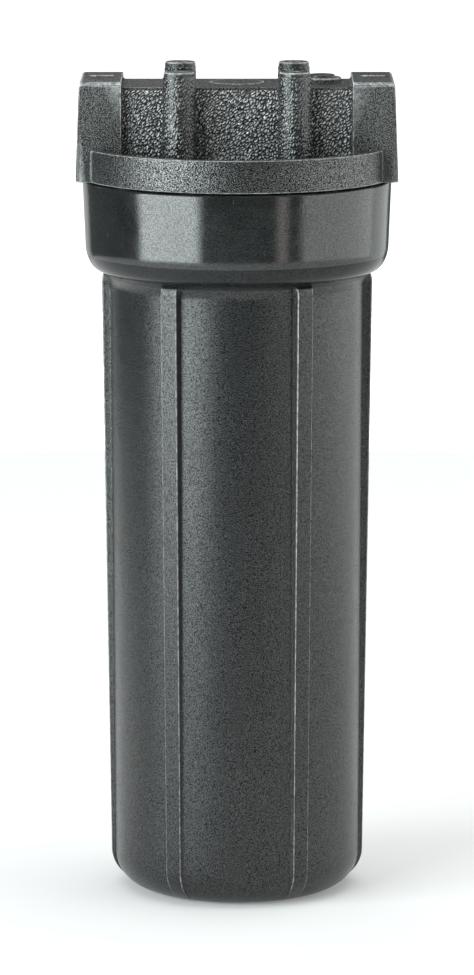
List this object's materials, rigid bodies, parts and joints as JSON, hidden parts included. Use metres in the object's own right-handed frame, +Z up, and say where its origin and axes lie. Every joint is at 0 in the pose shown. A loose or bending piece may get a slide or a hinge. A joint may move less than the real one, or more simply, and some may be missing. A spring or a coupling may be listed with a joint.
{
  "type": "cartridge filter housing",
  "caption": "Slim water filter housing: tall ribbed sump with a wide screw collar, head with opposed side ports, mounting screw columns and a pressure relief button, pleated cartridge inside.",
  "frame": {"origin": "middle of the sump's flat base", "axes": "+Z up along the screw axis, +X towards the inlet port and the relief valve, -Y towards the front"},
  "size_m": [0.1174, 0.114, 0.306],
  "materials": {
    "black_head_plastic": "fine-grained moulded polypropylene, pebbled on the centre block and screw columns",
    "black_sump_plastic": "moulded polypropylene, glossy on the collar and satin on the ribbed wall",
    "black_rubber": "smooth, lightly greased nitrile rubber",
    "button_plastic": "satin moulded plastic",
    "spring_steel": "drawn stainless steel",
    "white_plastic": "natural moulded polypropylene",
    "filter_medium": "matte non-woven polyester, pleated",
    "net_plastic": "extruded net",
    "cap_plastic": "moulded plastic, slight sheen",
    "gasket_rubber": "flat cut foam rubber"
  },
  "bodies": {
    "sump": {"sump": "black_sump_plastic", "cartridge_core": "white_plastic", "cartridge_pleats": "filter_medium", "cartridge_seam_clip": "white_plastic", "cartridge_sleeve": "net_plastic", "cartridge_top_cap": "cap_plastic", "cartridge_bottom_cap": "cap_plastic", "cartridge_top_gasket": "gasket_rubber", "cartridge_bottom_gasket": "gasket_rubber"},
    "seal": {"sump_o_ring": "black_rubber"},
    "head": {"head": "black_head_plastic", "relief_spring": "spring_steel"},
    "button": {"relief_button": "button_plastic", "relief_o_ring": "black_rubber", "relief_retainer": "spring_steel"}
  },
  "joints": [
    {"name": "head_unscrew", "type": "hinge", "parent": "sump", "child": "seal", "pos_m": [0, 0, 0.24], "axis": [0, 0, 1], "range_deg": [0, 1125]},
    {"name": "head_rise", "type": "slide", "parent": "seal", "child": "head", "axis": [0, 0, 1], "range_m": [0, 0.02]},
    {"name": "button_press", "type": "slide", "parent": "head", "child": "button", "axis": [0, 0, -1], "range_m": [0, 0.0018], "stiffness_N_per_m": 600, "springref_m": -0.003, "deforming": ["relief_spring"]}
  ],
  "couplings": [
    {"joint": "head_rise", "follows": "head_unscrew", "m_per_rad": 0.0010106}
  ]
}
